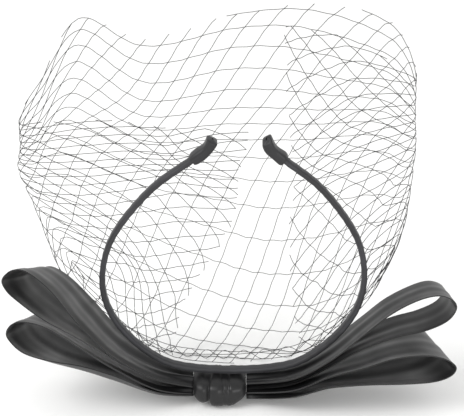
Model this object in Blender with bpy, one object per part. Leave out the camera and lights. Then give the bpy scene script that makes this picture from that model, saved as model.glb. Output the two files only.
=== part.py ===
"""Birdcage veil: a thin satin headband with a four loop satin bow and a deep net veil.

The band is a U that opens upwards, as the veil stands when it is not worn: on the
knot of its bow and on the belly of its net.  +X runs along the bow, +Y from the band
into the cage of net, +Z from the bow to the tips of the band.  Metres throughout.
"""
import math

import bmesh
import bpy
from mathutils import Vector

# Clearance between pieces that are sewn or wrapped against each other
SEAM = 0.0003

# Headband: a springy strip wrapped in satin ribbon
BAND_HALF_SPAN = 0.0726
BAND_RISE = 0.1492
BAND_WIDTH = 0.0055
BAND_THICK = 0.0034
BAND_SIDES = 10
BAND_STEPS = 56
TIP_LEAN = 0.0040

# Ribbon sleeves on the two tips
CAP_LENGTH = 0.0165
CAP_WALL = 0.0010
CAP_END = 0.0012
CAP_STEPS = 5

# Knot of the bow, under the middle of the band
KNOT_LENGTH = 0.0300
KNOT_HEIGHT = 0.0164
KNOT_FRONT = 0.0145
KNOT_BACK = 0.0125
KNOT_MIDDLE = -0.0070
KNOT_SIDES = 20

# Bow of satin ribbon
RIBBON_THICK = 0.0012
RIBBON_HALF_WIDTH = 0.0195
LEFT_REACH = 0.1020
RIGHT_REACH = 0.1165
BOW_RISE = 0.0990
LOOP_STEPS = 34
LOOP_ROWS = 5

# Net veil: one rectangular panel, gathered along one edge
VEIL_THICK = 0.0012
VEIL_HALF_WIDTH = 0.1200
VEIL_DEPTH = 0.0930
VEIL_HEIGHT = 0.2160
LAYER_STEP = 0.0026
MESH_COLUMNS = 20
MESH_ROWS = 6
MESH_OPEN = 0.82
SELVAGE = 0.02
LEDGE_SHARE = 0.30
FREE_FLARE = 0.06
PINCH_REACH = 0.030
PINCH_CLOSE = 0.55

# Course of one half of the band, from the bow to the tip.
# across: share of BAND_HALF_SPAN, up: share of BAND_RISE
BAND_COURSE = (
    (0.000, 0.000),
    (0.290, 0.010),
    (0.520, 0.040),
    (0.730, 0.118),
    (0.900, 0.225),
    (0.985, 0.335),
    (0.995, 0.450),
    (0.935, 0.575),
    (0.800, 0.692),
    (0.600, 0.812),
    (0.360, 0.908),
    (0.240, 0.958),
    (0.195, 1.000),
)

# Knot, section by section from left to right.
# along: share of KNOT_LENGTH, depth: share of KNOT_FRONT and KNOT_BACK,
# top and foot: shares of KNOT_HEIGHT
KNOT_SECTIONS = (
    (0.00, 0.62, 0.90, 0.34),
    (0.07, 0.84, 0.97, 0.20),
    (0.18, 0.95, 1.00, 0.13),
    (0.28, 0.90, 0.96, 0.16),
    (0.36, 0.97, 0.99, 0.00),
    (0.48, 1.00, 1.00, 0.00),
    (0.60, 0.93, 0.97, 0.00),
    (0.72, 0.98, 1.00, 0.00),
    (0.82, 0.94, 0.99, 0.12),
    (0.92, 0.86, 0.96, 0.26),
    (1.00, 0.66, 0.88, 0.42),
)

# Ribbon loops, each from the knot out to its end and back to the knot.
# out: share of the reach, near and far: heights of the two edges as shares of BOW_RISE,
# inset: how much less far the far edge reaches, as a share of the reach,
# width: share of RIBBON_HALF_WIDTH, cup: drop of the middle as a share of BOW_RISE
UPPER_LEFT = (
    (0.000, 0.136, 0.136, 0.000, 0.42, 0.000),
    (0.200, 0.226, 0.200, 0.000, 0.70, 0.015),
    (0.420, 0.398, 0.345, 0.010, 0.90, 0.020),
    (0.600, 0.620, 0.545, 0.040, 0.96, 0.010),
    (0.740, 0.850, 0.680, 0.070, 1.00, 0.000),
    (0.860, 0.975, 0.750, 0.110, 1.00, 0.000),
    (0.940, 0.990, 0.765, 0.135, 1.00, 0.000),
    (1.000, 0.930, 0.730, 0.145, 1.00, 0.000),
    (0.985, 0.860, 0.675, 0.145, 1.00, 0.000),
    (0.930, 0.790, 0.610, 0.140, 1.00, 0.005),
    (0.800, 0.665, 0.510, 0.110, 1.00, 0.020),
    (0.620, 0.530, 0.400, 0.070, 0.96, 0.030),
    (0.420, 0.365, 0.285, 0.020, 0.88, 0.030),
    (0.200, 0.200, 0.165, 0.000, 0.68, 0.020),
    (0.000, 0.112, 0.112, 0.000, 0.42, 0.000),
)
LOWER_LEFT = (
    (0.000, 0.088, 0.088, 0.000, 0.46, 0.000),
    (0.200, 0.165, 0.120, 0.000, 0.78, 0.030),
    (0.420, 0.325, 0.215, 0.010, 0.96, 0.035),
    (0.600, 0.470, 0.300, 0.040, 1.00, 0.030),
    (0.780, 0.610, 0.400, 0.070, 1.00, 0.015),
    (0.900, 0.650, 0.455, 0.100, 1.00, 0.000),
    (0.965, 0.635, 0.455, 0.120, 1.00, 0.000),
    (1.000, 0.580, 0.430, 0.130, 1.00, 0.000),
    (0.985, 0.520, 0.385, 0.125, 1.00, 0.010),
    (0.915, 0.440, 0.320, 0.110, 1.00, 0.025),
    (0.780, 0.385, 0.240, 0.080, 1.00, 0.045),
    (0.600, 0.345, 0.190, 0.050, 1.00, 0.075),
    (0.420, 0.270, 0.140, 0.020, 0.98, 0.075),
    (0.200, 0.130, 0.090, 0.000, 0.80, 0.035),
    (0.000, 0.058, 0.058, 0.000, 0.46, 0.000),
)
UPPER_RIGHT = (
    (0.000, 0.140, 0.140, 0.000, 0.42, 0.000),
    (0.220, 0.190, 0.180, 0.000, 0.55, 0.010),
    (0.400, 0.325, 0.300, 0.000, 0.60, 0.010),
    (0.560, 0.510, 0.470, 0.000, 0.62, 0.000),
    (0.680, 0.650, 0.590, 0.010, 0.64, 0.000),
    (0.800, 0.745, 0.670, 0.020, 0.66, 0.000),
    (0.900, 0.780, 0.710, 0.030, 0.66, 0.000),
    (0.970, 0.750, 0.690, 0.035, 0.66, 0.000),
    (0.990, 0.690, 0.640, 0.035, 0.66, 0.000),
    (0.950, 0.610, 0.570, 0.030, 0.66, 0.000),
    (0.850, 0.545, 0.510, 0.020, 0.66, 0.000),
    (0.720, 0.500, 0.465, 0.010, 0.64, 0.005),
    (0.560, 0.415, 0.380, 0.000, 0.62, 0.010),
    (0.400, 0.290, 0.265, 0.000, 0.60, 0.010),
    (0.220, 0.162, 0.152, 0.000, 0.55, 0.010),
    (0.000, 0.114, 0.114, 0.000, 0.42, 0.000),
)
LOWER_RIGHT = (
    (0.000, 0.088, 0.088, 0.000, 0.50, 0.000),
    (0.220, 0.150, 0.120, 0.000, 0.84, 0.020),
    (0.400, 0.265, 0.190, 0.005, 0.98, 0.025),
    (0.560, 0.330, 0.250, 0.030, 1.00, 0.020),
    (0.700, 0.395, 0.300, 0.055, 1.00, 0.010),
    (0.840, 0.420, 0.335, 0.080, 1.00, 0.000),
    (0.940, 0.400, 0.335, 0.095, 1.00, 0.000),
    (1.000, 0.345, 0.300, 0.105, 1.00, 0.000),
    (0.980, 0.285, 0.250, 0.100, 1.00, 0.010),
    (0.900, 0.245, 0.205, 0.085, 1.00, 0.030),
    (0.760, 0.230, 0.170, 0.060, 1.00, 0.055),
    (0.580, 0.225, 0.145, 0.030, 1.00, 0.075),
    (0.400, 0.205, 0.120, 0.005, 1.00, 0.075),
    (0.220, 0.120, 0.090, 0.000, 0.86, 0.045),
    (0.000, 0.058, 0.058, 0.000, 0.50, 0.000),
)

# Net panel, column by column from its left raw end round the back to its right raw end.
# along: share of the panel, sewn: place on the band as a share of its half length,
# flare: how far the sewn edge stands off beside an arm, as a share of VEIL_HALF_WIDTH,
# layer: 0 for the layer against the band, 1 for the layer behind it,
# low_x, low_y and low_z: the lowest fold, or the stretch beside an arm,
# mid_x and mid_y: the wall at half height, top_x, top_y and top_z: the free edge.
# x: shares of VEIL_HALF_WIDTH, y: shares of VEIL_DEPTH, heights: shares of VEIL_HEIGHT
VEIL_COLUMNS = (
    (0.000, -0.16, 0.00, 0.0, -0.217, 0.052, 0.287, 0.000, 0.129, 0.083, 0.161, 0.773),
    (0.100, -0.27, 0.00, 0.0, -0.383, 0.056, 0.333, -0.375, 0.151, -0.292, 0.237, 0.796),
    (0.175, -0.37, 0.00, 0.0, -0.500, 0.067, 0.398, -0.683, 0.204, -0.625, 0.258, 0.778),
    (0.225, -0.45, 0.02, 0.0, -0.650, 0.102, 0.440, -0.892, 0.312, -0.892, 0.366, 0.741),
    (0.250, -0.50, 0.13, 0.6, -0.817, 0.237, 0.444, -0.992, 0.441, -0.983, 0.452, 0.731),
    (0.300, -0.41, 0.03, 1.0, -0.833, 0.409, 0.287, -0.950, 0.645, -0.883, 0.624, 0.815),
    (0.350, -0.33, 0.00, 1.0, -0.717, 0.452, 0.194, -0.808, 0.839, -0.700, 0.753, 0.958),
    (0.450, -0.18, 0.00, 1.0, -0.383, 0.505, 0.037, -0.417, 0.968, -0.417, 0.817, 0.889),
    (0.550, 0.00, 0.00, 1.0, 0.000, 0.527, 0.003, 0.000, 1.000, 0.000, 0.882, 0.940),
    (0.650, 0.18, 0.00, 1.0, 0.392, 0.505, 0.032, 0.400, 0.968, 0.400, 0.839, 0.981),
    (0.725, 0.34, 0.00, 1.0, 0.650, 0.452, 0.194, 0.700, 0.817, 0.700, 0.710, 0.963),
    (0.775, 0.43, 0.03, 1.0, 0.750, 0.409, 0.306, 0.825, 0.624, 0.808, 0.602, 0.907),
    (0.825, 0.53, 0.12, 0.6, 0.808, 0.237, 0.491, 0.858, 0.430, 0.842, 0.495, 0.843),
    (0.850, 0.48, 0.02, 0.0, 0.658, 0.097, 0.477, 0.800, 0.312, 0.783, 0.473, 0.870),
    (0.910, 0.36, 0.00, 0.0, 0.508, 0.060, 0.398, 0.583, 0.194, 0.517, 0.452, 0.958),
    (1.000, 0.18, 0.00, 0.0, 0.283, 0.052, 0.287, 0.233, 0.108, 0.233, 0.430, 1.000),
)

# Share of the height of the panel at its foot, the ledge over the bow, the lowest fold,
# half height, upper wall and free edge
PROFILE = (0.0, 0.06, 0.20, 0.50, 0.75, 1.0)

# Gathers that tie the net to the two arms of the band.
# side: -1 left and 1 right, sewn: share of the half length of the band
PINCHES = (
    (-1, 0.860),
    (1, 0.820),
)


def clear_scene():
    """Start from an empty scene."""
    for thing in list(bpy.data.objects):
        bpy.data.objects.remove(thing, do_unlink=True)


def finish(name, colour, roughness, metallic=0.0):
    """A plain material for one piece."""
    made = bpy.data.materials.new(name)
    made.use_nodes = True
    shader = made.node_tree.nodes["Principled BSDF"]
    shader.inputs["Base Color"].default_value = (*colour, 1.0)
    shader.inputs["Roughness"].default_value = roughness
    shader.inputs["Metallic"].default_value = metallic
    return made


def curve_value(a, b, c, d, share):
    """Catmull-Rom curve from b to c."""
    square = share * share
    cube = square * share
    return 0.5 * (
        2.0 * b
        + (c - a) * share
        + (2.0 * a - 5.0 * b + 4.0 * c - d) * square
        + (3.0 * b - a - 3.0 * c + d) * cube
    )


def through(rows, place):
    """Smooth curve through the rows of a table, at place counted in rows."""
    last = len(rows) - 1
    place = min(max(place, 0.0), float(last))
    start = min(int(place), last - 1)
    share = place - start
    before = rows[max(start - 1, 0)]
    after = rows[min(start + 2, last)]
    parts = zip(before, rows[start], rows[start + 1], after)
    return tuple(curve_value(a, b, c, d, share) for a, b, c, d in parts)


def through_key(rows, key):
    """Smooth curve through the rows of a table, at a value of their first column."""
    last = len(rows) - 1
    for start in range(last):
        if key <= rows[start + 1][0] or start == last - 1:
            width = rows[start + 1][0] - rows[start][0]
            return through(rows, start + (key - rows[start][0]) / width)
    return rows[last]


def link(name, mesh_data, material):
    """Put a finished mesh in the scene as one piece."""
    mesh = bpy.data.meshes.new(name)
    bmesh.ops.recalc_face_normals(mesh_data, faces=mesh_data.faces)
    mesh_data.to_mesh(mesh)
    mesh_data.free()
    mesh.materials.append(material)
    mesh.shade_smooth()
    mesh.set_sharp_from_angle(angle=math.radians(50.0))
    piece = bpy.data.objects.new(name, mesh)
    bpy.context.scene.collection.objects.link(piece)
    return piece


def loft(rings, closed_ends=True):
    """Skin a row of rings of points, each ring closed on itself."""
    skin = bmesh.new()
    rows = [[skin.verts.new(point) for point in ring] for ring in rings]
    sides = len(rows[0])
    for low, high in zip(rows, rows[1:]):
        for side in range(sides):
            after = (side + 1) % sides
            skin.faces.new((low[side], low[after], high[after], high[side]))
    if closed_ends:
        skin.faces.new(rows[0])
        skin.faces.new(rows[-1])
    return skin


def sheet(name, grid, thick, material):
    """A cloth wall over a grid of points, with half its thickness on each side."""
    cloth = bmesh.new()
    rows = [[cloth.verts.new(point) for point in row] for row in grid]
    for low, high in zip(rows, rows[1:]):
        for side in range(len(low) - 1):
            cloth.faces.new((low[side], low[side + 1], high[side + 1], high[side]))
    piece = link(name, cloth, material)
    thicken(piece, thick)
    return piece


def thicken(piece, thick):
    """Give a single surface its wall."""
    wall = piece.modifiers.new("wall", "SOLIDIFY")
    wall.thickness = thick
    wall.offset = 0.0


# Headband

def half_course(place):
    """Point of one half of the centre line, as a distance across and a height."""
    across, up = through(BAND_COURSE, place)
    return Vector((across * BAND_HALF_SPAN, up * BAND_RISE))


def band_lengths():
    """Length of the half centre line up to each of many places."""
    fine = 240
    last = len(BAND_COURSE) - 1
    places = [last * step / fine for step in range(fine + 1)]
    lengths = [0.0]
    for here, there in zip(places, places[1:]):
        lengths.append(lengths[-1] + (half_course(there) - half_course(here)).length)
    return places, lengths


BAND_PLACES, BAND_LENGTHS = band_lengths()
HALF_LENGTH = BAND_LENGTHS[-1]
BAND_FOOT = KNOT_HEIGHT + SEAM + BAND_THICK / 2.0


def band_point(share):
    """Centre line at a share of the half length: negative to the left."""
    length = min(abs(share), 1.0) * HALF_LENGTH
    index = 1
    while index < len(BAND_LENGTHS) - 1 and BAND_LENGTHS[index] < length:
        index += 1
    before, after = BAND_LENGTHS[index - 1], BAND_LENGTHS[index]
    part = (length - before) / (after - before)
    place = BAND_PLACES[index - 1] + part * (BAND_PLACES[index] - BAND_PLACES[index - 1])
    across, up = half_course(place)
    lean = TIP_LEAN * (up / BAND_RISE) ** 2
    return Vector((math.copysign(across, share) + lean, 0.0, BAND_FOOT + up))


def band_ring(share, half_width, half_thick):
    """Rounded section across the band, with its centre."""
    step = 0.004
    ahead = band_point(min(share + step, 1.0))
    behind = band_point(max(share - step, -1.0))
    along = (ahead - behind).normalized()
    out = Vector((along.z, 0.0, -along.x))
    centre = band_point(share)
    ring = []
    for side in range(BAND_SIDES):
        angle = 2.0 * math.pi * (side + 0.5) / BAND_SIDES
        wide = math.copysign(abs(math.cos(angle)) ** 0.6, math.cos(angle))
        deep = math.copysign(abs(math.sin(angle)) ** 0.6, math.sin(angle))
        ring.append(centre + Vector((0.0, wide * half_width, 0.0)) + out * deep * half_thick)
    return ring


def cap_shares():
    """Places along the band that it shares with the bore of a sleeve."""
    start = 1.0 - CAP_LENGTH / HALF_LENGTH
    floor = 1.0 - CAP_END / HALF_LENGTH
    return [start + (floor - start) * step / CAP_STEPS for step in range(CAP_STEPS + 1)]


def make_band(material):
    """The band, as one strip from tip to tip inside its two sleeves."""
    capped = cap_shares()
    capped[-1] -= SEAM / HALF_LENGTH
    mouth = capped[0]
    middle = [mouth * (2.0 * step / BAND_STEPS - 1.0) for step in range(1, BAND_STEPS)]
    shares = [-share for share in reversed(capped)] + middle + capped
    rings = [band_ring(share, BAND_WIDTH / 2.0, BAND_THICK / 2.0) for share in shares]
    return link("band", loft(rings), material)


def make_cap(name, side, material):
    """A ribbon sleeve round one tip, closed past the end of the band."""
    bore_width = BAND_WIDTH / 2.0 + SEAM
    bore_thick = BAND_THICK / 2.0 + SEAM
    bore = cap_shares()
    skin = bore[:-1] + [1.0]
    inner = [band_ring(side * share, bore_width, bore_thick) for share in bore]
    outer = [band_ring(side * share, bore_width + CAP_WALL, bore_thick + CAP_WALL) for share in skin]
    return link(name, loft(inner[::-1] + outer), material)


# Bow

def knot_ring(along, depth, top, foot):
    """Rounded section across the knot, flat on its foot."""
    across = KNOT_MIDDLE + (along - 0.5) * KNOT_LENGTH
    middle = (top + foot) / 2.0 * KNOT_HEIGHT
    half = (top - foot) / 2.0 * KNOT_HEIGHT
    ring = []
    for side in range(KNOT_SIDES):
        angle = 2.0 * math.pi * side / KNOT_SIDES
        wide = math.copysign(abs(math.cos(angle)) ** 0.55, math.cos(angle))
        high = math.copysign(abs(math.sin(angle)) ** 0.55, math.sin(angle))
        reach = KNOT_BACK if wide > 0.0 else KNOT_FRONT
        height = middle + max(min(high * 1.06, 1.0), -1.0) * half
        ring.append((across, wide * reach * depth, height))
    return ring


def make_knot(material):
    """The ribbon wrapped round the middle of the bow."""
    return link("knot", loft([knot_ring(*row) for row in KNOT_SECTIONS]), material)


def make_loop(name, rows, side, reach, material):
    """One ribbon loop, from the knot out and back."""
    start = KNOT_MIDDLE + side * (KNOT_LENGTH / 2.0 + SEAM)
    grid = []
    for step in range(LOOP_STEPS + 1):
        place = (len(rows) - 1) * step / LOOP_STEPS
        out, near, far, inset, width, cup = through(rows, place)
        line = []
        for row in range(LOOP_ROWS + 1):
            part = row / LOOP_ROWS
            across = start + side * max(out - inset * part, 0.0) * reach
            back = (2.0 * part - 1.0) * width * RIBBON_HALF_WIDTH
            drop = cup * (1.0 - (2.0 * part - 1.0) ** 2)
            height = (near + (far - near) * part - drop) * BOW_RISE
            line.append((across, back, height))
        grid.append(line)
    return sheet(name, grid, RIBBON_THICK, material)


# Net

def pinch_points():
    """Where the gathers hold the net, just behind the sleeves of the band."""
    back = BAND_WIDTH / 2.0 + SEAM + CAP_WALL + SEAM + VEIL_THICK
    return [band_point(side * share) + Vector((0.0, back, 0.0)) for side, share in PINCHES]


GATHERS = pinch_points()


def sewn_at(along):
    """How a place along the gathered edge is sewn: on the band, off it and in which layer."""
    for here, there in zip(VEIL_COLUMNS, VEIL_COLUMNS[1:]):
        if along <= there[0]:
            share = (along - here[0]) / (there[0] - here[0])
            return tuple(a + share * (b - a) for a, b in zip(here[1:4], there[1:4]))
    return VEIL_COLUMNS[-1][1:4]


def veil_point(along, rise):
    """Net panel at a share of its length and a share of its height."""
    row = through_key(VEIL_COLUMNS, along)
    low_x, low_y, low_z, mid_x, mid_y, top_x, top_y, top_z = row[4:]
    sewn, flare, layer = sewn_at(along)
    foot = band_point(sewn)
    foot.x += math.copysign(flare * VEIL_HALF_WIDTH, sewn)
    foot.y = BAND_WIDTH / 2.0 + SEAM + VEIL_THICK / 2.0 + layer * LAYER_STEP
    foot.y += flare * VEIL_HALF_WIDTH / 2.0
    low = Vector((low_x * VEIL_HALF_WIDTH, low_y * VEIL_DEPTH, low_z * VEIL_HEIGHT))
    middle = Vector((mid_x * VEIL_HALF_WIDTH, mid_y * VEIL_DEPTH, 0.0))
    top = Vector((top_x * VEIL_HALF_WIDTH, top_y * VEIL_DEPTH, top_z * VEIL_HEIGHT))
    ledge = foot.lerp(low, LEDGE_SHARE)
    ledge.z = foot.z * layer + ledge.z * (1.0 - layer)
    middle.z = low.z + 0.42 * (top.z - low.z)
    upper = (middle + top) / 2.0
    upper.y += 0.02 * VEIL_DEPTH
    profile = zip(PROFILE, (foot, ledge, low, middle, upper, top))
    point = Vector(through_key([(key, *place) for key, place in profile], rise)[1:])
    point.z = max(point.z, VEIL_THICK / 2.0)
    for gather in GATHERS:
        if point.y < VEIL_DEPTH / 2.0:
            away = point - gather
            away.y = 0.0
            pull = PINCH_CLOSE * math.exp(-(away.length / PINCH_REACH) ** 2)
            point += (gather - point) * pull
    return point


def make_veil(material):
    """The net as one sheet, cut through in rows of staggered meshes."""
    across = 1.0 / MESH_COLUMNS
    tall = (1.0 - SELVAGE) / (MESH_ROWS + 1.0 / 3.0)
    net = bmesh.new()
    made = {}

    def corner(along, rise):
        key = (round(along * 1e5), round(rise * 1e5))
        if key not in made:
            made[key] = net.verts.new(veil_point(along, rise))
        return made[key]

    def mesh_corners(along, rise):
        side = across / 2.0
        return (
            (along, rise - tall * 2.0 / 3.0),
            (along + side, rise - tall / 3.0),
            (along + side, rise + tall / 3.0),
            (along, rise + tall * 2.0 / 3.0),
            (along - side, rise + tall / 3.0),
            (along - side, rise - tall / 3.0),
        )

    for row in range(MESH_ROWS):
        staggered = row % 2
        rise = SELVAGE + tall * (row + 2.0 / 3.0)
        for column in range(MESH_COLUMNS - staggered):
            along = across * (column + 0.5 + 0.5 * staggered)
            rim = mesh_corners(along, rise)
            gap = [
                (along + (a - along) * MESH_OPEN, rise + (b - rise) * MESH_OPEN)
                for a, b in rim
            ]
            for index in range(6):
                after = (index + 1) % 6
                net.faces.new((
                    corner(*rim[index]),
                    corner(*rim[after]),
                    corner(*gap[after]),
                    corner(*gap[index]),
                ))
    shoulder = SELVAGE + tall / 3.0
    for column in range(MESH_COLUMNS):
        left = across * column
        middle = left + across / 2.0
        right = left + across
        for start, high, end, low in (
            (left, shoulder, middle, SELVAGE),
            (middle, SELVAGE, right, shoulder),
        ):
            if sewn_at((start + end) / 2.0)[1] < FREE_FLARE:
                strip = ((start, 0.0), (end, 0.0), (end, low), (start, high))
                net.faces.new([corner(*place) for place in strip])
    piece = link("veil", net, material)
    thicken(piece, VEIL_THICK)
    return piece


def settle(pieces):
    """Move the whole part so that it stands on z = 0 with the origin under its middle."""
    bpy.context.view_layer.update()
    graph = bpy.context.evaluated_depsgraph_get()
    points = []
    for piece in pieces:
        shape = piece.evaluated_get(graph).to_mesh()
        points.extend(vert.co.copy() for vert in shape.vertices)
    low = [min(point[axis] for point in points) for axis in range(3)]
    high = [max(point[axis] for point in points) for axis in range(3)]
    shift = Vector((-(low[0] + high[0]) / 2.0, -(low[1] + high[1]) / 2.0, -low[2]))
    for piece in pieces:
        piece.location = shift


def main():
    """Make every piece of the veil."""
    clear_scene()
    satin = (0.012, 0.012, 0.013)
    pieces = [
        make_band(finish("wrapped_satin", (0.020, 0.020, 0.021), 0.55)),
        make_cap("end_cap_left", -1.0, finish("cap_satin_left", satin, 0.42)),
        make_cap("end_cap_right", 1.0, finish("cap_satin_right", satin, 0.42)),
        make_knot(finish("knot_satin", satin, 0.38)),
    ]
    for name, rows, side, reach in (
        ("loop_upper_left", UPPER_LEFT, -1.0, LEFT_REACH),
        ("loop_lower_left", LOWER_LEFT, -1.0, LEFT_REACH),
        ("loop_upper_right", UPPER_RIGHT, 1.0, RIGHT_REACH),
        ("loop_lower_right", LOWER_RIGHT, 1.0, RIGHT_REACH),
    ):
        pieces.append(make_loop(name, rows, side, reach, finish(name + "_satin", satin, 0.38)))
    pieces.append(make_veil(finish("net_thread", (0.015, 0.015, 0.016), 0.6)))
    settle(pieces)


main()
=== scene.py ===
# %% [markdown]
# This lesson dresses a birdcage veil: a thin headband wrapped in satin, a four loop satin bow
# and one long panel of black diamond net. It stands upside down, as it is stored: on the knot
# of its bow and the belly of its net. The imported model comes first, because every piece made
# here takes its place from it.

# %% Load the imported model
import math

import bpy
import numpy as np
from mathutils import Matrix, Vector


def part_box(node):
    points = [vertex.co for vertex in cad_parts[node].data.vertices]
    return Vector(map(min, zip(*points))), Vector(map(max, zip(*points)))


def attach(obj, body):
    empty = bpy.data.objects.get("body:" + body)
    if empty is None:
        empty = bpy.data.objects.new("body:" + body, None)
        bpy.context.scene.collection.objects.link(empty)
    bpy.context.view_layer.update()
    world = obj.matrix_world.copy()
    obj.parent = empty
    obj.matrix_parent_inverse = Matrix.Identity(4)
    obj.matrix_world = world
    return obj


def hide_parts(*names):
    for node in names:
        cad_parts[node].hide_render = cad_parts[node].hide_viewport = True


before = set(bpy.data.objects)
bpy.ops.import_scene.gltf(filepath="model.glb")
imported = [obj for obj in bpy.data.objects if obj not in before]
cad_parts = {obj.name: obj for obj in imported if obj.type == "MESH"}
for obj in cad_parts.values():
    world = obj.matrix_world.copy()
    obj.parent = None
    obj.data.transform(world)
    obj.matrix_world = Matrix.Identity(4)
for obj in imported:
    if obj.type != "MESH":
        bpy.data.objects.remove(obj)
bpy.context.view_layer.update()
print("packed nodes:", ", ".join(sorted(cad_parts)))

# %% [markdown]
# The photograph looks down at about 30 degrees, from 0.9 m away, through a long lens. The band
# lies in one upright plane, so all places below are measured from its middle: x along the bow,
# y from the band into the cage of net, z up from the floor.

# %% Find the middle plane of the band
MM = 0.001
KNOT_MIDDLE = -7.0 * MM
band_low, band_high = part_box("band")
knot_low, knot_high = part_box("knot")
ORIGIN = np.array((
    (knot_low[0] + knot_high[0]) / 2.0 - KNOT_MIDDLE,
    (band_low[1] + band_high[1]) / 2.0,
    0.0,
))
print("middle of the band plane:", ORIGIN)

# %% Set the camera
CAMERA_TARGET = Vector(ORIGIN) + Vector((0.0, 0.0, 125.4 * MM))
CAMERA_DISTANCE = 900.0 * MM
CAMERA_ELEVATION = math.radians(30.0)
PHOTO_WIDTH = 464.0
FOCAL_PIXELS = 1665.0
SENSOR_WIDTH = 36.0

away = Vector((0.0, -math.cos(CAMERA_ELEVATION), math.sin(CAMERA_ELEVATION)))
bpy.ops.object.camera_add(
    location=CAMERA_TARGET + away * CAMERA_DISTANCE,
    rotation=(math.radians(90.0) - CAMERA_ELEVATION, 0.0, 0.0),
)
camera = bpy.context.object
camera.data.sensor_width = SENSOR_WIDTH
camera.data.lens = SENSOR_WIDTH * FOCAL_PIXELS / PHOTO_WIDTH
camera.data.clip_end = 20.0
bpy.context.scene.camera = camera
print("lens in mm:", round(camera.data.lens, 1))

# %% [markdown]
# A white studio table and a white dome: black thread is only 0.4 mm thick, so it needs an even,
# bright ground behind it. Two soft panels from the left and the front draw the long highlights
# on the satin.

# %% Light the table
DOME_STRENGTH = 0.95
scene = bpy.context.scene
scene.view_settings.view_transform = "Standard"
world = bpy.data.worlds.new("white_dome")
world.use_nodes = True
world.node_tree.nodes["Background"].inputs["Color"].default_value = (1.0, 1.0, 1.0, 1.0)
world.node_tree.nodes["Background"].inputs["Strength"].default_value = DOME_STRENGTH
scene.world = world


def soft_panel(name, place, size, power):
    """A square soft light that looks at the middle of the veil."""
    aim = CAMERA_TARGET - Vector(place)
    turn = aim.to_track_quat("-Z", "Y").to_euler()
    bpy.ops.object.light_add(type="AREA", location=place, rotation=turn)
    panel = bpy.context.object
    panel.name = name
    panel.data.size = size
    panel.data.energy = power
    print("soft panel:", name, power, "watts")


soft_panel("window_left", (-0.9, -0.5, 1.1), 0.7, 9.0)
soft_panel("window_front", (0.5, -1.3, 0.5), 0.6, 5.0)

# %% [markdown]
# Each material is a small tree of nodes. Three helpers keep those trees readable: one turns an
# sRGB hex code to the linear colour that a socket wants, one adds a node with its settings and
# links, and one starts a material with its surface shader.

# %% Colour and node helpers


def linear(code):
    """Linear colour of an sRGB hex code."""
    parts = [int(code[index:index + 2], 16) / 255.0 for index in (1, 3, 5)]
    parts = [
        part / 12.92 if part <= 0.04045 else ((part + 0.055) / 1.055) ** 2.4
        for part in parts
    ]
    return (*parts, 1.0)


def add_node(tree, kind, settings=None, values=None, links=None):
    """One node with its settings, socket values and incoming links."""
    node = tree.nodes.new(kind)
    for name, value in (settings or {}).items():
        setattr(node, name, value)
    for name, value in (values or {}).items():
        node.inputs[name].default_value = value
    for name, socket in (links or {}).items():
        tree.links.new(socket, node.inputs[name])
    return node


def new_finish(name):
    """An empty material with its output and one surface shader."""
    finish = bpy.data.materials.new(name)
    finish.use_nodes = True
    tree = finish.node_tree
    tree.nodes.clear()
    shader = add_node(tree, "ShaderNodeBsdfPrincipled")
    add_node(tree, "ShaderNodeOutputMaterial", links={"Surface": shader.outputs["BSDF"]})
    return finish, tree, shader


# %% [markdown]
# The table is matt white paper, laid a hair under the part so the two never share a face.

# %% Lay the floor
FLOOR_SIZE = 6.0
FLOOR_DROP = 0.2 * MM
bpy.ops.mesh.primitive_plane_add(size=FLOOR_SIZE, location=(0.0, 0.0, -FLOOR_DROP))
floor = bpy.context.object
floor.name = "table"
paper, _, shader = new_finish("matt_white_paper")
shader.inputs["Base Color"].default_value = linear("#f6f6f5")
shader.inputs["Roughness"].default_value = 0.9
floor.data.materials.append(paper)

# %% [markdown]
# Polyester satin ribbon: thin, closely woven, with long floats that give a soft sheen along the
# ribbon and almost black hollows. The weave is far finer than a pixel, so its ribs are drawn at
# 0.6 mm.

# %% Satin of the bow
SATIN_RIB = 0.6 * MM
BANDS_PER_METRE = 0.314
STREAK_SCALE = (40.0, 900.0, 1.0)
CLOUD_SCALE = 55.0
BUMP_DEPTH = 0.05 * MM


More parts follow.
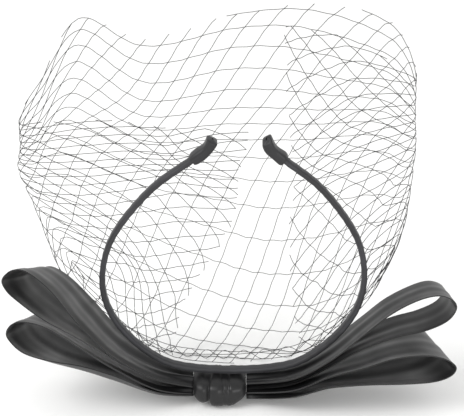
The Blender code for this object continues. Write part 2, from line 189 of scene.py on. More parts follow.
def satin_finish(name, dark, light, roughness, sheen):
    """Black ribbon satin on a UV map in metres: u along the ribbon, v across it."""
    finish, tree, shader = new_finish(name)
    place = add_node(tree, "ShaderNodeUVMap", {"uv_map": "cloth"})
    streak = add_node(
        tree, "ShaderNodeMapping",
        values={"Scale": STREAK_SCALE},
        links={"Vector": place.outputs["UV"]},
    )
    floats = add_node(
        tree, "ShaderNodeTexNoise",
        values={"Scale": 1.0, "Detail": 3.0},
        links={"Vector": streak.outputs["Vector"]},
    )
    cloud = add_node(
        tree, "ShaderNodeTexNoise",
        values={"Scale": CLOUD_SCALE, "Detail": 2.0},
        links={"Vector": place.outputs["UV"]},
    )
    both = add_node(
        tree, "ShaderNodeMath", {"operation": "MULTIPLY"},
        links={0: floats.outputs["Fac"], 1: cloud.outputs["Fac"]},
    )
    tone = add_node(tree, "ShaderNodeValToRGB", links={"Fac": both.outputs["Value"]})
    tone.color_ramp.elements[0].position = 0.12
    tone.color_ramp.elements[0].color = linear(dark)
    tone.color_ramp.elements[1].position = 0.42
    tone.color_ramp.elements[1].color = linear(light)
    ribs = add_node(
        tree, "ShaderNodeTexWave", {"wave_type": "BANDS", "bands_direction": "X"},
        values={"Scale": BANDS_PER_METRE / SATIN_RIB, "Distortion": 0.6, "Detail": 1.0},
        links={"Vector": place.outputs["UV"]},
    )
    relief = add_node(
        tree, "ShaderNodeMath", {"operation": "ADD"},
        links={0: ribs.outputs["Fac"], 1: floats.outputs["Fac"]},
    )
    bump = add_node(
        tree, "ShaderNodeBump",
        values={"Strength": 0.25, "Distance": BUMP_DEPTH},
        links={"Height": relief.outputs["Value"]},
    )
    gloss = add_node(
        tree, "ShaderNodeMapRange",
        values={"From Min": 0.3, "From Max": 0.7, "To Min": roughness - 0.07, "To Max": roughness + 0.09},
        links={"Value": cloud.outputs["Fac"]},
    )
    tree.links.new(tone.outputs["Color"], shader.inputs["Base Color"])
    tree.links.new(gloss.outputs["Result"], shader.inputs["Roughness"])
    tree.links.new(bump.outputs["Normal"], shader.inputs["Normal"])
    shader.inputs["Specular IOR Level"].default_value = 0.45
    shader.inputs["Sheen Weight"].default_value = sheen
    shader.inputs["Sheen Roughness"].default_value = 0.4
    return finish


BOW_SATIN = satin_finish("polyester_satin_black", "#0b0b0c", "#151516", 0.40, 0.05)
BAND_SATIN = satin_finish("satin_wrap_grey_black", "#1c1c1e", "#343438", 0.52, 0.12)
CAP_SATIN = satin_finish("satin_sleeve_black", "#121214", "#242427", 0.46, 0.10)
print("satins:", BOW_SATIN.name, BAND_SATIN.name, CAP_SATIN.name)

# %% [markdown]
# Net thread: black nylon, twisted and heat set, with a dull gleam. Its twist is far finer than
# a pixel, so it is drawn as a fine grain of two near blacks and a slight roughness.

# %% Thread of the net
GRAIN_SCALE = 2200.0


def thread_finish():
    """Twisted black nylon, its twist drawn as a fine grain on Object coordinates."""
    finish, tree, shader = new_finish("nylon_net_thread_black")
    place = add_node(tree, "ShaderNodeTexCoord")
    grain = add_node(
        tree, "ShaderNodeTexNoise",
        values={"Scale": GRAIN_SCALE, "Detail": 1.0},
        links={"Vector": place.outputs["Object"]},
    )
    tone = add_node(tree, "ShaderNodeValToRGB", links={"Fac": grain.outputs["Fac"]})
    tone.color_ramp.elements[0].position = 0.3
    tone.color_ramp.elements[0].color = linear("#0d0d0e")
    tone.color_ramp.elements[1].position = 0.7
    tone.color_ramp.elements[1].color = linear("#232326")
    bump = add_node(
        tree, "ShaderNodeBump",
        values={"Strength": 0.3, "Distance": BUMP_DEPTH},
        links={"Height": grain.outputs["Fac"]},
    )
    tree.links.new(tone.outputs["Color"], shader.inputs["Base Color"])
    tree.links.new(bump.outputs["Normal"], shader.inputs["Normal"])
    shader.inputs["Roughness"].default_value = 0.5
    shader.inputs["Sheen Weight"].default_value = 0.1
    return finish


NET_THREAD = thread_finish()
print("thread:", NET_THREAD.name)

# %% [markdown]
# Two helpers read a smooth curve through the rows of a table, for single places and for whole
# rows of them at once. A third turns a grid of points into cloth with its own UV map in metres.

# %% Curves through tables


def smooth(a, b, c, d, share):
    """Catmull-Rom curve from b to c, with a before and d after them."""
    return 0.5 * (
        2.0 * b
        + (c - a) * share
        + (2.0 * a - 5.0 * b + 4.0 * c - d) * share ** 2
        + (3.0 * b - a - 3.0 * c + d) * share ** 3
    )


def through(rows, place):
    """Smooth curve through the rows of a table, at places counted in rows."""
    rows = np.asarray(rows, dtype=float)
    last = len(rows) - 1
    place = np.clip(np.asarray(place, dtype=float), 0.0, last)
    start = np.minimum(place.astype(int), last - 1)
    share = (place - start)[..., None]
    a = rows[np.maximum(start - 1, 0)]
    b = rows[start]
    c = rows[start + 1]
    d = rows[np.minimum(start + 2, last)]
    return smooth(a, b, c, d, share)


def through_key(rows, key):
    """The same curve, at values of the table's first column."""
    rows = np.asarray(rows, dtype=float)
    keys = rows[:, 0]
    start = np.clip(np.searchsorted(keys[1:], key), 0, len(keys) - 2)
    return through(rows, start + (key - keys[start]) / (keys[start + 1] - keys[start]))


# %% Cloth from a grid of points
SMOOTH_ANGLE = math.radians(60.0)


def unit(vectors):
    """Vectors at length one."""
    return vectors / np.maximum(np.linalg.norm(vectors, axis=-1, keepdims=True), 1e-12)


def run_lengths(points):
    """Length along a line of points, from its start to each of them."""
    return np.concatenate(([0.0], np.cumsum(np.linalg.norm(np.diff(points, axis=0), axis=-1))))


def cloth(name, grid, thick, finish, closed=False):
    """A cloth wall over a grid of points (rows along the ribbon, columns across it)."""
    rows, columns = grid.shape[:2]
    verts = (grid + ORIGIN).reshape(-1, 3)
    faces = []
    for row in range(rows - 1):
        here = row * columns
        there = here + columns
        for column in range(columns if closed else columns - 1):
            after = (column + 1) % columns
            faces.append((here + column, here + after, there + after, there + column))
    mesh = bpy.data.meshes.new(name)
    mesh.from_pydata(verts.tolist(), [], faces)
    along = run_lengths(grid.mean(axis=1))
    across = run_lengths(grid[rows // 2])
    layer = mesh.uv_layers.new(name="cloth")
    corner = np.empty(len(mesh.loops), dtype=int)
    mesh.loops.foreach_get("vertex_index", corner)
    places = np.stack((along[corner // columns], across[corner % columns]), axis=-1)
    layer.data.foreach_set("uv", places.ravel())
    mesh.materials.append(finish)
    piece = bpy.data.objects.new(name, mesh)
    scene.collection.objects.link(piece)
    bpy.ops.object.select_all(action="DESELECT")
    piece.select_set(True)
    bpy.context.view_layer.objects.active = piece
    if thick:
        wall = piece.modifiers.new("wall", "SOLIDIFY")
        wall.thickness = thick
        wall.offset = 0.0
        bpy.ops.object.modifier_apply(modifier="wall")
    bpy.ops.object.shade_smooth_by_angle(angle=SMOOTH_ANGLE)
    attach(piece, "root")
    print(name, "faces:", len(piece.data.polygons))
    return piece


# %% [markdown]
# The headband is a springy strip. One half of its course is a table of shares, read by length
# along it, so anything sewn to the band can name its place as a share: minus one is the left
# tip, zero the bow, plus one the right tip.

# %% Course of the headband
BAND_HALF_SPAN = 72.6 * MM
BAND_RISE = 149.2 * MM
BAND_WIDTH = 5.5 * MM
BAND_THICK = 3.4 * MM
TIP_LEAN = 4.0 * MM
KNOT_HEIGHT = 16.4 * MM
SEAM = 0.3 * MM
BAND_FOOT = KNOT_HEIGHT + SEAM + BAND_THICK / 2.0
BAND_COURSE = (
    (0.000, 0.000), (0.290, 0.010), (0.520, 0.040), (0.730, 0.118), (0.900, 0.225),
    (0.985, 0.335), (0.995, 0.450), (0.935, 0.575), (0.800, 0.692), (0.600, 0.812),
    (0.360, 0.908), (0.240, 0.958), (0.195, 1.000),
)
COURSE_STEPS = 241
COURSE_PLACES = np.linspace(0.0, len(BAND_COURSE) - 1.0, COURSE_STEPS)
COURSE_POINTS = through(BAND_COURSE, COURSE_PLACES) * (BAND_HALF_SPAN, BAND_RISE)
COURSE_LENGTHS = run_lengths(COURSE_POINTS)
HALF_LENGTH = COURSE_LENGTHS[-1]


def band_point(share):
    """Centre line of the band at shares of its half length."""
    share = np.asarray(share, dtype=float)
    length = np.minimum(np.abs(share), 1.0) * HALF_LENGTH
    place = np.interp(length, COURSE_LENGTHS, COURSE_PLACES)
    across, up = np.moveaxis(through(BAND_COURSE, place) * (BAND_HALF_SPAN, BAND_RISE), -1, 0)
    lean = TIP_LEAN * (up / BAND_RISE) ** 2
    return np.stack((np.copysign(across, share) + lean, np.zeros_like(across), BAND_FOOT + up), axis=-1)


print("half length of the band in mm:", round(HALF_LENGTH / MM, 1))

# %% [markdown]
# The band is wrapped in ribbon. Its section is a soft oblong, and every 7 mm the edge of the
# wrap steps up a little and leaves a slanting line.

# %% Wrap the band
WRAP_PITCH = 7.0 * MM
WRAP_STEP = 0.16 * MM
WRAP_END = 0.985
WRAP_RINGS = 520
WRAP_INSET = 0.1 * MM
BAND_SIDES = 28
BAND_SQUARE = 0.6
SHARE_STEP = 0.004


def squared(wave, power):
    """A sine or cosine pushed towards a square, so a ring becomes a soft oblong."""
    return np.sign(wave) * np.abs(wave) ** power


def band_section(
    shares, half_width, half_thick, power=BAND_SQUARE, step_height=0.0, sides=BAND_SIDES
):
    """Rings of points round the band at shares of its half length."""
    shares = np.asarray(shares)
    centre = band_point(shares)
    ahead = band_point(np.minimum(shares + SHARE_STEP, 1.0))
    behind = band_point(np.maximum(shares - SHARE_STEP, -1.0))
    along = unit(ahead - behind)
    out = np.stack((along[:, 2], np.zeros(len(shares)), -along[:, 0]), axis=-1)
    angle = 2.0 * np.pi * (np.arange(sides) + 0.5) / sides
    wide = squared(np.cos(angle), power)
    deep = squared(np.sin(angle), power)
    turn = (shares[:, None] * HALF_LENGTH / WRAP_PITCH + angle[None, :] / (2.0 * np.pi)) % 1.0
    lift = step_height * np.exp(-((turn - 0.5) / 0.32) ** 4) * (0.4 + 0.6 * turn)
    side = wide[None, :] * (half_width + lift)
    face = deep[None, :] * (half_thick + lift)
    across = np.array((0.0, 1.0, 0.0)) * side[..., None]
    return centre[:, None, :] + across + out[:, None, :] * face[..., None]


wrap_rings = band_section(
    np.linspace(-WRAP_END, WRAP_END, WRAP_RINGS),
    BAND_WIDTH / 2.0 - WRAP_INSET,
    BAND_THICK / 2.0 - WRAP_INSET,
    step_height=WRAP_STEP,
)
wrap = cloth("wrapped_band", wrap_rings, 0.0, BAND_SATIN, closed=True)
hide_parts("band")

# %% [markdown]
# Each tip is dressed with a ribbon sleeve, folded round it and glued. The left one is rounded,
# the right one is cut on the slant.

# %% Fold the sleeves over the tips
CAP_LENGTH = 16.5 * MM
CAP_WALL = 1.0 * MM
CAP_STEPS = 40
CAP_SIDES = 32
CAP_SQUARE = 0.5
CAP_PROUD = 1.5 * MM
FOLD_LIFT = 0.25 * MM
band_mouth = 1.0 - CAP_LENGTH / HALF_LENGTH


def sleeve(name, side, slant):
    """A folded ribbon round one tip, closed at its end."""
    shares = np.linspace(band_mouth, 1.0, CAP_STEPS)
    rings = band_section(
        side * shares,
        BAND_WIDTH / 2.0 + SEAM + CAP_WALL,
        BAND_THICK / 2.0 + SEAM + CAP_WALL,
        power=CAP_SQUARE,
        sides=CAP_SIDES,
    )
    middle = rings.mean(axis=1, keepdims=True)
    reach = np.linspace(0.0, 1.0, CAP_STEPS)
    mouth = np.exp(-(reach / 0.05) ** 2)
    size = 1.0 - 0.10 * mouth + 0.05 * np.sin(reach * 9.0 + side)
    end = np.clip((reach - 0.93) / 0.07, 0.0, 1.0)
    size = size * np.sqrt(np.maximum(1.0 - end ** 2, 0.02))
    rings = middle + (rings - middle) * size[:, None, None]
    angle = 2.0 * np.pi * (np.arange(CAP_SIDES) + 0.5) / CAP_SIDES
    fold = FOLD_LIFT * np.exp(-((angle - 4.3) / 0.25) ** 2)[None, :] * (1.0 - end)[:, None]
    rings = rings + unit(rings - middle) * fold[..., None]
    slide = band_point(np.array([side * 1.0])) - band_point(np.array([side * 0.97]))
    cut = slant * unit(slide)[None] * (reach[:, None, None] ** 3)
    rings = rings + cut * np.sin(angle + 0.5)[None, :, None]
    cap_low, cap_high = (np.array(corner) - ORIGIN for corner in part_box(name))
    rings = np.clip(rings, cap_low - CAP_PROUD, cap_high + CAP_PROUD)
    piece_name = name.replace("end_cap", "ribbon_sleeve")
    piece = cloth(piece_name, rings, 0.0, CAP_SATIN, closed=True)
    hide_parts(name)


sleeve("end_cap_left", -1.0, 0.0)
sleeve("end_cap_right", 1.0, 1.2 * MM)

# %% [markdown]
# The bow is four loops of one satin ribbon, 39 mm wide. A loop leaves the knot, bends over its
# end and comes back. Each row of a table says how far out it is, the heights of its two edges,
# how far the far edge falls short, how wide the ribbon lies and how much its middle drops.

# %% Loops of the bow, as tables
RIBBON_HALF_WIDTH = 19.5 * MM
LEFT_REACH = 102.0 * MM
RIGHT_REACH = 116.5 * MM
BOW_RISE = 99.0 * MM
KNOT_LENGTH = 30.0 * MM
RIBBON_THICK = 0.7 * MM

UPPER_LEFT = (
    (0.000, 0.136, 0.136, 0.000, 0.42, 0.000), (0.200, 0.226, 0.200, 0.000, 0.70, 0.015),
    (0.420, 0.398, 0.345, 0.010, 0.90, 0.020), (0.600, 0.620, 0.545, 0.040, 0.96, 0.010),
    (0.740, 0.850, 0.680, 0.070, 1.00, 0.000), (0.860, 0.975, 0.750, 0.110, 1.00, 0.000),
    (0.940, 0.990, 0.765, 0.135, 1.00, 0.000), (1.000, 0.930, 0.730, 0.145, 1.00, 0.000),
    (0.985, 0.860, 0.675, 0.145, 1.00, 0.000), (0.930, 0.790, 0.610, 0.140, 1.00, 0.005),
    (0.800, 0.665, 0.510, 0.110, 1.00, 0.020), (0.620, 0.530, 0.400, 0.070, 0.96, 0.030),
    (0.420, 0.365, 0.285, 0.020, 0.88, 0.030), (0.200, 0.200, 0.165, 0.000, 0.68, 0.020),
    (0.000, 0.112, 0.112, 0.000, 0.42, 0.000),
)
LOWER_LEFT = (
    (0.000, 0.088, 0.088, 0.000, 0.46, 0.000), (0.200, 0.165, 0.120, 0.000, 0.78, 0.030),
    (0.420, 0.325, 0.215, 0.010, 0.96, 0.035), (0.600, 0.470, 0.300, 0.040, 1.00, 0.030),
    (0.780, 0.610, 0.400, 0.070, 1.00, 0.015), (0.900, 0.650, 0.455, 0.100, 1.00, 0.000),
    (0.965, 0.635, 0.455, 0.120, 1.00, 0.000), (1.000, 0.580, 0.430, 0.130, 1.00, 0.000),
    (0.985, 0.520, 0.385, 0.125, 1.00, 0.010), (0.915, 0.440, 0.320, 0.110, 1.00, 0.025),
    (0.780, 0.385, 0.240, 0.080, 1.00, 0.045), (0.600, 0.345, 0.190, 0.050, 1.00, 0.075),
    (0.420, 0.270, 0.140, 0.020, 0.98, 0.075), (0.200, 0.130, 0.090, 0.000, 0.80, 0.035),
    (0.000, 0.058, 0.058, 0.000, 0.46, 0.000),
)
UPPER_RIGHT = (
    (0.000, 0.140, 0.140, 0.000, 0.42, 0.000), (0.220, 0.190, 0.180, 0.000, 0.55, 0.010),
    (0.400, 0.325, 0.300, 0.000, 0.60, 0.010), (0.560, 0.510, 0.470, 0.000, 0.62, 0.000),
    (0.680, 0.650, 0.590, 0.010, 0.64, 0.000), (0.800, 0.745, 0.670, 0.020, 0.66, 0.000),
    (0.900, 0.780, 0.710, 0.030, 0.66, 0.000), (0.970, 0.750, 0.690, 0.035, 0.66, 0.000),
    (0.990, 0.690, 0.640, 0.035, 0.66, 0.000), (0.950, 0.610, 0.570, 0.030, 0.66, 0.000),
    (0.850, 0.545, 0.510, 0.020, 0.66, 0.000), (0.720, 0.500, 0.465, 0.010, 0.64, 0.005),
    (0.560, 0.415, 0.380, 0.000, 0.62, 0.010), (0.400, 0.290, 0.265, 0.000, 0.60, 0.010),
    (0.220, 0.162, 0.152, 0.000, 0.55, 0.010), (0.000, 0.114, 0.114, 0.000, 0.42, 0.000),
)
LOWER_RIGHT = (
    (0.000, 0.088, 0.088, 0.000, 0.50, 0.000), (0.220, 0.150, 0.120, 0.000, 0.84, 0.020),
    (0.400, 0.265, 0.190, 0.005, 0.98, 0.025), (0.560, 0.330, 0.250, 0.030, 1.00, 0.020),
    (0.700, 0.395, 0.300, 0.055, 1.00, 0.010), (0.840, 0.420, 0.335, 0.080, 1.00, 0.000),
    (0.940, 0.400, 0.335, 0.095, 1.00, 0.000), (1.000, 0.345, 0.300, 0.105, 1.00, 0.000),
    (0.980, 0.285, 0.250, 0.100, 1.00, 0.010), (0.900, 0.245, 0.205, 0.085, 1.00, 0.030),
    (0.760, 0.230, 0.170, 0.060, 1.00, 0.055), (0.580, 0.225, 0.145, 0.030, 1.00, 0.075),
    (0.400, 0.205, 0.120, 0.005, 1.00, 0.075), (0.220, 0.120, 0.090, 0.000, 0.86, 0.045),
    (0.000, 0.058, 0.058, 0.000, 0.50, 0.000),
)

# %% [markdown]
# The ribbon is one grid of points per loop: rows along it, columns across it. Each fold of a
# loop is a wave across the ribbon, given by its depth in millimetres, how many lie across, where
# they start and how they twist. The waves fade outwards from the knot, where the ribbon is
# pressed together.

# %% Bend the ribbon into loops
LOOP_STEPS = 150
LOOP_ROWS = 26
FOLD_FADE = 0.45


def ribbon_loop(name, rows, side, reach, folds):
    """One loop, with soft lengthwise folds that fan out of the knot."""
    start = KNOT_MIDDLE + side * (KNOT_LENGTH / 2.0 + SEAM)
    place = (len(rows) - 1.0) * np.linspace(0.0, 1.0, LOOP_STEPS + 1)
    out, near, far, inset, width, cup = np.moveaxis(through(rows, place), -1, 0)[:, :, None]
    part = np.linspace(0.0, 1.0, LOOP_ROWS + 1)[None, :]
    across = start + side * np.maximum(out - inset * part, 0.0) * reach
    back = (2.0 * part - 1.0) * width * RIBBON_HALF_WIDTH
    drop = cup * (1.0 - (2.0 * part - 1.0) ** 2)
    height = (near + (far - near) * part - drop) * BOW_RISE
    grid = np.stack(np.broadcast_arrays(across, back, height), axis=-1)
    along = unit(np.gradient(grid, axis=0))
    wide = unit(np.gradient(grid, axis=1))
    face = unit(np.cross(along, wide))
    fan = np.exp(-out / FOLD_FADE)
    lift = np.zeros_like(back)
    for depth, count, phase, twist in folds:
        lift = lift + depth * MM * np.sin(2.0 * np.pi * (count * part + phase + twist * out)) * fan
    folded = grid + face * lift[..., None]
    piece = cloth(name.replace("loop", "ribbon"), folded, RIBBON_THICK, BOW_SATIN)
    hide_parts(name)


LOOPS = (
    ("loop_upper_left", UPPER_LEFT, -1.0, LEFT_REACH, ((1.1, 2.0, 0.1, 0.3), (0.6, 3.5, 0.4, -0.2))),
    ("loop_lower_left", LOWER_LEFT, -1.0, LEFT_REACH, ((1.0, 2.2, 0.3, 0.2), (0.6, 4.0, 0.0, 0.3))),
    ("loop_upper_right", UPPER_RIGHT, 1.0, RIGHT_REACH, ((0.9, 1.6, 0.2, 0.3), (0.5, 3.0, 0.6, 0.1))),
    ("loop_lower_right", LOWER_RIGHT, 1.0, RIGHT_REACH, ((1.0, 2.0, 0.5, -0.2), (0.6, 3.6, 0.2, 0.2))),
)
for loop in LOOPS:
    ribbon_loop(*loop)

# %% [markdown]
# The knot is the same ribbon wrapped tightly round the middle. It is a soft block in sections
# from left to right, with creases that run round it where the ribbon is folded.

# %% Wrap the knot
KNOT_FRONT = 14.5 * MM
KNOT_BACK = 12.5 * MM
KNOT_SECTIONS = (
    (0.00, 0.62, 0.90, 0.34), (0.07, 0.84, 0.97, 0.20), (0.18, 0.95, 1.00, 0.13),
    (0.28, 0.90, 0.96, 0.16), (0.36, 0.97, 0.99, 0.00), (0.48, 1.00, 1.00, 0.00),
    (0.60, 0.93, 0.97, 0.00), (0.72, 0.98, 1.00, 0.00), (0.82, 0.94, 0.99, 0.12),
    (0.92, 0.86, 0.96, 0.26), (1.00, 0.66, 0.88, 0.42),
)
KNOT_SIDES = 56
KNOT_STEPS = 90
KNOT_SQUARE = 0.6

knot_places = np.linspace(0.0, len(KNOT_SECTIONS) - 1.0, KNOT_STEPS)
along, depth, top, foot = np.moveaxis(through(KNOT_SECTIONS, knot_places), -1, 0)[:, :, None]
angle = 2.0 * np.pi * np.arange(KNOT_SIDES)[None, :] / KNOT_SIDES
wide = squared(np.cos(angle), KNOT_SQUARE)
high = squared(np.sin(angle), KNOT_SQUARE)
reach = np.where(wide > 0.0, KNOT_BACK, KNOT_FRONT)
across = KNOT_MIDDLE + (along - 0.5) * KNOT_LENGTH + 0.0 * angle
back = wide * reach * depth
height = (top + foot) / 2.0 * KNOT_HEIGHT + high * (top - foot) / 2.0 * KNOT_HEIGHT
# Each crease: its depth in millimetres, its place, how far it leans and which way, its width.
CREASES = (
    (0.70, 0.33, 0.05, wide, 0.020),
    (0.50, 0.70, -0.04, high, 0.020),
    (0.35, 0.52, -0.06, wide, 0.015),
)
crease = 0.0
for deep, place, lean, way, width in CREASES:
    crease = crease - deep * MM * np.exp(-((along - place - lean * way) / width) ** 2)
grid = np.stack(np.broadcast_arrays(across, back, height), axis=-1)
middle = grid.mean(axis=1, keepdims=True)
grid = grid + unit(grid - middle) * crease[..., None]
grid[..., 2] = np.maximum(grid[..., 2], 0.0)
shut_left = np.repeat(grid[:1].mean(axis=1, keepdims=True), KNOT_SIDES, axis=1)
shut_right = np.repeat(grid[-1:].mean(axis=1, keepdims=True), KNOT_SIDES, axis=1)
knot_rings = np.concatenate((shut_left, grid, shut_right))
knot = cloth("ribbon_knot", knot_rings, 0.0, BOW_SATIN, closed=True)
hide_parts("knot")

# %% [markdown]
# The net is one panel, about 480 by 240 mm, sewn along its lower edge to the band and drawn to
# both arms. A table gives its course column by column: where it is sewn, its lowest fold, its
# wall at half height and its free edge. Every thread is then a curve on that surface.

# %% Course of the net panel
VEIL_THICK = 1.2 * MM
VEIL_HALF_WIDTH = 120.0 * MM
VEIL_DEPTH = 93.0 * MM
VEIL_HEIGHT = 216.0 * MM
LAYER_STEP = 2.6 * MM
LEDGE_SHARE = 0.30
MIDDLE_SHARE = 0.42
UPPER_BULGE = 0.02
PINCH_REACH = 30.0 * MM
PINCH_CLOSE = 0.55
VEIL_COLUMNS = np.array((
    (0.000, -0.16, 0.00, 0.0, -0.217, 0.052, 0.287, 0.000, 0.129, 0.083, 0.161, 0.773),
    (0.100, -0.27, 0.00, 0.0, -0.383, 0.056, 0.333, -0.375, 0.151, -0.292, 0.237, 0.796),
    (0.175, -0.37, 0.00, 0.0, -0.500, 0.067, 0.398, -0.683, 0.204, -0.625, 0.258, 0.778),
    (0.225, -0.45, 0.02, 0.0, -0.650, 0.102, 0.440, -0.892, 0.312, -0.892, 0.366, 0.741),
    (0.250, -0.50, 0.13, 0.6, -0.817, 0.237, 0.444, -0.992, 0.441, -0.983, 0.452, 0.731),
    (0.300, -0.41, 0.03, 1.0, -0.833, 0.409, 0.287, -0.950, 0.645, -0.883, 0.624, 0.815),
    (0.350, -0.33, 0.00, 1.0, -0.717, 0.452, 0.194, -0.808, 0.839, -0.700, 0.753, 0.958),
    (0.450, -0.18, 0.00, 1.0, -0.383, 0.505, 0.037, -0.417, 0.968, -0.417, 0.817, 0.889),
    (0.550, 0.00, 0.00, 1.0, 0.000, 0.527, 0.003, 0.000, 1.000, 0.000, 0.882, 0.940),
    (0.650, 0.18, 0.00, 1.0, 0.392, 0.505, 0.032, 0.400, 0.968, 0.400, 0.839, 0.981),
    (0.725, 0.34, 0.00, 1.0, 0.650, 0.452, 0.194, 0.700, 0.817, 0.700, 0.710, 0.963),
    (0.775, 0.43, 0.03, 1.0, 0.750, 0.409, 0.306, 0.825, 0.624, 0.808, 0.602, 0.907),
    (0.825, 0.53, 0.12, 0.6, 0.808, 0.237, 0.491, 0.858, 0.430, 0.842, 0.495, 0.843),
    (0.850, 0.48, 0.02, 0.0, 0.658, 0.097, 0.477, 0.800, 0.312, 0.783, 0.473, 0.870),
    (0.910, 0.36, 0.00, 0.0, 0.508, 0.060, 0.398, 0.583, 0.194, 0.517, 0.452, 0.958),
    (1.000, 0.18, 0.00, 0.0, 0.283, 0.052, 0.287, 0.233, 0.108, 0.233, 0.430, 1.000),
))
PROFILE = np.array((0.0, 0.06, 0.20, 0.50, 0.75, 1.0))
PINCHES = ((-1.0, 0.860), (1.0, 0.820))
GATHER_BACK = BAND_WIDTH / 2.0 + SEAM + CAP_WALL + SEAM + VEIL_THICK
GATHERS = [band_point(np.array([side * share]))[0] + (0.0, GATHER_BACK, 0.0) for side, share in PINCHES]
FLOOR_CLEAR = 0.3 * MM


def veil_point(along, rise):
    """Points of the panel at shares of its length and of its height."""
    along, rise = np.broadcast_arrays(np.asarray(along, dtype=float), np.asarray(rise, dtype=float))
    shape = along.shape
    along, rise = along.ravel(), rise.ravel()
    keys = VEIL_COLUMNS[:, 0]
    sewn, flare, layer = (np.interp(along, keys, VEIL_COLUMNS[:, column]) for column in (1, 2, 3))
    row = through_key(VEIL_COLUMNS, along)
    low_x, low_y, low_z, mid_x, mid_y, top_x, top_y, top_z = np.moveaxis(row[:, 4:], -1, 0)
    foot = band_point(sewn)
    spread = flare * VEIL_HALF_WIDTH
    foot[:, 0] += np.copysign(spread, sewn)
    foot[:, 1] = BAND_WIDTH / 2.0 + SEAM + VEIL_THICK / 2.0 + layer * LAYER_STEP + spread / 2.0
    low = np.stack((low_x * VEIL_HALF_WIDTH, low_y * VEIL_DEPTH, low_z * VEIL_HEIGHT), axis=-1)
    top = np.stack((top_x * VEIL_HALF_WIDTH, top_y * VEIL_DEPTH, top_z * VEIL_HEIGHT), axis=-1)
    mid_z = low[:, 2] + MIDDLE_SHARE * (top[:, 2] - low[:, 2])
    middle = np.stack((mid_x * VEIL_HALF_WIDTH, mid_y * VEIL_DEPTH, mid_z), axis=-1)
    ledge = foot + (low - foot) * LEDGE_SHARE
    ledge[:, 2] = foot[:, 2] * layer + ledge[:, 2] * (1.0 - layer)
    upper = (middle + top) / 2.0
    upper[:, 1] += UPPER_BULGE * VEIL_DEPTH
    stack = np.stack((foot, ledge, low, middle, upper, top))
    last = len(PROFILE) - 1
    start = np.clip(np.searchsorted(PROFILE[1:], rise), 0, last - 1)
    share = ((rise - PROFILE[start]) / (PROFILE[start + 1] - PROFILE[start]))[:, None]
    pick = np.arange(len(rise))
    a, b = stack[np.maximum(start - 1, 0), pick], stack[start, pick]
    c, d = stack[start + 1, pick], stack[np.minimum(start + 2, last), pick]
    point = smooth(a, b, c, d, share)
    point[:, 2] = np.maximum(point[:, 2], FLOOR_CLEAR)
    for gather in GATHERS:
        near = point[:, 1] < VEIL_DEPTH / 2.0
        away = (point - gather)[:, (0, 2)]
        pull = PINCH_CLOSE * np.exp(-(np.linalg.norm(away, axis=1) / PINCH_REACH) ** 2) * near
        point = point + (gather - point) * pull[:, None]
    return point.reshape(*shape, 3)


# %% [markdown]
# The mesh of the net is a lattice of two thread families. On the back wall one family runs
# almost level and the other climbs steeply, 12 mm from knot to knot, because the panel hangs on
# the bias. Towards the sides the lattice leans back into level diamonds.

# %% Lattice of the net
PANEL_LENGTH = 480.0
PANEL_WIDTH = 240.0
LEVEL_STEP = (12.0, -1.8)
STEEP_STEP = (7.3, 11.5)
KNOT_RUN = 1.2
KNOT_GAP = 0.16
LEFT_TURN = 0.33
RIGHT_TURN = 0.78
LEFT_LEAN = 0.32
RIGHT_LEAN = 0.30
RIPPLE_COUNT = 14
rng = np.random.default_rng(7)
RIPPLES = [
    (
        rng.uniform(0.5, 1.5),
        rng.uniform(-1.0, 1.0) * 0.06,
        rng.uniform(-1.0, 1.0) * 0.05,
        rng.uniform(0.0, 6.28),
        rng.integers(0, 2),
    )
    for _ in range(RIPPLE_COUNT)
]


def lean_back(sigma):
    """How far the lattice has leaned, at millimetres along the panel."""
    left = np.minimum(sigma - LEFT_TURN * PANEL_LENGTH, 0.0)
    right = np.maximum(sigma - RIGHT_TURN * PANEL_LENGTH, 0.0)
    return -LEFT_LEAN * left - RIGHT_LEAN * right


def lattice(level, steep):
    """Panel coordinates in millimetres of a place in the lattice."""
    sigma = level * LEVEL_STEP[0] + steep * STEEP_STEP[0]
    tau = level * LEVEL_STEP[1] + steep * STEEP_STEP[1]
    tau = tau + lean_back(sigma)
    drift_s = np.zeros_like(sigma)
    drift_t = np.zeros_like(sigma)
    for size, rate_s, rate_t, phase, way in RIPPLES:
        wave = size * np.sin(rate_s * sigma + rate_t * tau + phase)
        if way:
            drift_s = drift_s + wave
        else:
            drift_t = drift_t + wave
    return sigma + drift_s, tau + drift_t


# %% [markdown]
# A thread is a closed tube of five sides round its own curve. All the threads go into one mesh,
# because the net is one piece of cloth, and a few sides are enough for a tube 0.4 mm thick.

# %% Threads as tubes
THREAD_SIDES = 5


def tube_rings(path, radius):
    """Rings of points round a thread that follows a path."""
    ahead = unit(np.gradient(path, axis=0))
    up = np.array((0.0, 0.0, 1.0))
    side = unit(np.cross(ahead, up) + 1e-6)
    other = np.cross(side, ahead)
    angle = 2.0 * np.pi * np.arange(THREAD_SIDES) / THREAD_SIDES
    ring = (
        np.cos(angle)[None, :, None] * side[:, None, :]
        + np.sin(angle)[None, :, None] * other[:, None, :]
    )
    return path[:, None, :] + ring * radius


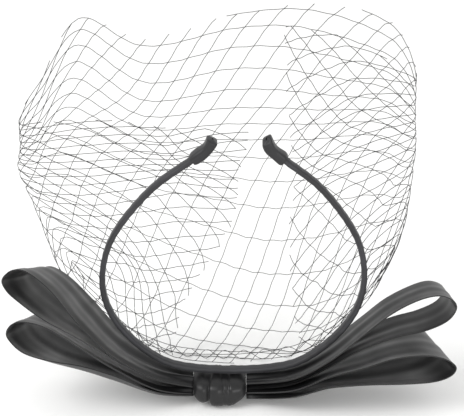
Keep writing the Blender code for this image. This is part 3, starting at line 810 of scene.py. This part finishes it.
def tubes(name, paths, radius, finish):
    """One mesh of many threads, each a closed tube."""
    verts, faces, base = [], [], 0
    for path in paths:
        rings = tube_rings(path, radius)
        count = len(path)
        verts.append(rings.reshape(-1, 3))
        row = np.arange(count - 1)[:, None] * THREAD_SIDES
        col = np.arange(THREAD_SIDES)[None, :]
        nxt = (col + 1) % THREAD_SIDES
        quads = np.stack((row + col, row + nxt, row + THREAD_SIDES + nxt, row + THREAD_SIDES + col), axis=-1)
        faces.append(quads.reshape(-1, 4)[:, ::-1] + base)
        base += count * THREAD_SIDES
    verts = np.concatenate(verts) + ORIGIN
    faces = np.concatenate(faces)
    mesh = bpy.data.meshes.new(name)
    mesh.vertices.add(len(verts))
    mesh.vertices.foreach_set("co", verts.ravel())
    mesh.loops.add(faces.size)
    mesh.loops.foreach_set("vertex_index", faces.ravel())
    mesh.polygons.add(len(faces))
    mesh.polygons.foreach_set("loop_start", np.arange(0, faces.size, 4))
    mesh.update(calc_edges=True)
    mesh.validate()
    mesh.shade_smooth()
    mesh.materials.append(finish)
    piece = bpy.data.objects.new(name, mesh)
    scene.collection.objects.link(piece)
    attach(piece, "root")
    print(name, "threads:", len(paths), "triangles:", 2 * len(faces))
    return piece


# %% [markdown]
# Where two threads cross, the real net has a twisted knot: both threads run side by side for
# about a millimetre. So near each crossing the two families slide along each other and stand a
# hair apart, which draws the doubled stroke.

# %% Lay the threads on the panel
CELL_PARTS = 4
THREAD_RADIUS = 0.19 * MM
THREAD_SPAN = (-40, 90)
KNOT_SPAN = (-60, 100)
SLIDE_FADE = 0.22
SLIDE_ALONG = 0.9
SLIDE_UP = 0.45
GAP_FADE = 0.15


def runs(inside):
    """Stretches of a thread that lie on the panel."""
    edges = np.flatnonzero(np.diff(np.concatenate(([0], inside.astype(int), [0]))))
    return [(start, stop) for start, stop in zip(edges[::2], edges[1::2]) if stop - start > 2]


def thread_lattice(family, index):
    """Panel places along one thread, and how far each is from its nearest knot."""
    knots = np.arange(KNOT_SPAN[0], KNOT_SPAN[1] + 1)
    steps = np.arange(CELL_PARTS) / CELL_PARTS
    free = (knots[:, None] + steps[None, :]).ravel()
    phase = free - np.round(free)
    fixed = np.full_like(free, index)
    level, steep = (free, fixed) if family else (fixed, free)
    sigma, tau = lattice(level, steep)
    return sigma, tau, phase


def net_threads():
    """Curves of all the threads of both families that cross the panel."""
    paths = []
    for family in (0, 1):
        for index in range(*THREAD_SPAN):
            sigma, tau, phase = thread_lattice(family, index)
            slide = KNOT_RUN * np.sin(2.0 * np.pi * phase) * np.exp(-np.abs(phase) / SLIDE_FADE)
            gap = (KNOT_GAP if family else -KNOT_GAP) * np.exp(-(phase / GAP_FADE) ** 2)
            s = (sigma + slide * SLIDE_ALONG) / PANEL_LENGTH
            t = (tau + slide * SLIDE_UP + gap) / PANEL_WIDTH
            inside = (s >= 0.0) & (s <= 1.0) & (t >= 0.0) & (t <= 1.0)
            for start, stop in runs(inside):
                paths.append(veil_point(s[start:stop], t[start:stop]))
    return paths


veil = tubes("net_panel", net_threads(), THREAD_RADIUS, NET_THREAD)
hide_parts("veil")
